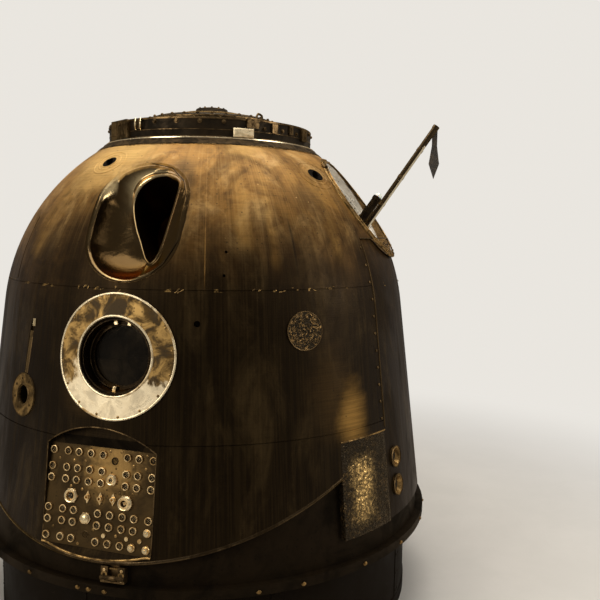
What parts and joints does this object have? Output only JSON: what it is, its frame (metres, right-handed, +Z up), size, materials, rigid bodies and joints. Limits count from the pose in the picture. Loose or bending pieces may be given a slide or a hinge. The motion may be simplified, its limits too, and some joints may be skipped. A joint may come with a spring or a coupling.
{
  "type": "crew return capsule on a museum drum",
  "caption": "Bell-shaped crew return capsule, scorched, with window, connector plate, parachute recesses, top hatch and folding mast, on a round display drum.",
  "frame": {"origin": "on the floor, at the centre of the drum's foot", "axes": "+Z up, -Y towards the window and connector side, +X towards the bay with the mast"},
  "size_m": [2.2157, 2.1798, 2.3444],
  "materials": {
    "drum_paint": "black painted board",
    "charred_skin": "scorched, streaked ablative coat",
    "dark_structure": "dark burnt structure",
    "bare_metal": "bare tarnished metal",
    "burnt_metal": "heat-darkened metal",
    "gloss_liner": "glossy dark lining",
    "pale_paint": "pale paint inside the bay",
    "glass": "smoked window glass",
    "lens": "frosted lamp lens",
    "contact_metal": "worn plated contacts",
    "rough_char": "rough, crinkled char",
    "fabric": "dark tape"
  },
  "bodies": {
    "capsule": {"drum_floor": "drum_paint", "drum_side": "drum_paint", "drum_top": "drum_paint", "base_ring": "dark_structure", "base_bulkhead": "dark_structure", "base_band": "dark_structure", "lower_skin": "charred_skin", "hull_middle": "charred_skin", "hull_dome": "charred_skin", "bay_strip": "charred_skin", "rough_panels": "rough_char", "thruster_nozzles": "bare_metal", "window_flanges": "bare_metal", "window_barrels": "burnt_metal", "window_retainers": "burnt_metal", "window_glass": "glass", "connector_plate": "bare_metal", "connector_sockets": "contact_metal", "connector_plugs": "contact_metal", "latch_bracket": "burnt_metal", "grille_plug": "rough_char", "side_slot_boss": "burnt_metal", "pocket_liner": "gloss_liner", "pocket_throat": "gloss_liner", "bay_can": "pale_paint", "bay_rim": "burnt_metal", "bay_bridge": "burnt_metal", "mast_bracket": "burnt_metal", "mast_pin": "burnt_metal", "beacon_body": "burnt_metal", "beacon_lens": "lens", "collar_flange": "bare_metal", "collar_ring": "dark_structure", "collar_deck": "dark_structure", "collar_lugs": "burnt_metal", "hatch_coaming": "burnt_metal", "hatch_brackets": "burnt_metal", "hatch_pins": "burnt_metal"},
    "hatch": {"hatch_lid": "dark_structure", "hatch_hub": "burnt_metal", "hatch_arms": "burnt_metal"},
    "mast": {"mast_rod": "burnt_metal", "mast_flag": "fabric"}
  },
  "joints": [
    {"name": "hatch_hinge", "type": "hinge", "parent": "capsule", "child": "hatch", "pos_m": [0, 0.378, 2.27435], "axis": [-1, 0, 0], "range_deg": [0, 100]},
    {"name": "mast_hinge", "type": "hinge", "parent": "capsule", "child": "mast", "pos_m": [0.73461, -0.10343, 1.73177], "axis": [0.1392, 0.9903, 0], "range_deg": [-40, 20]}
  ]
}
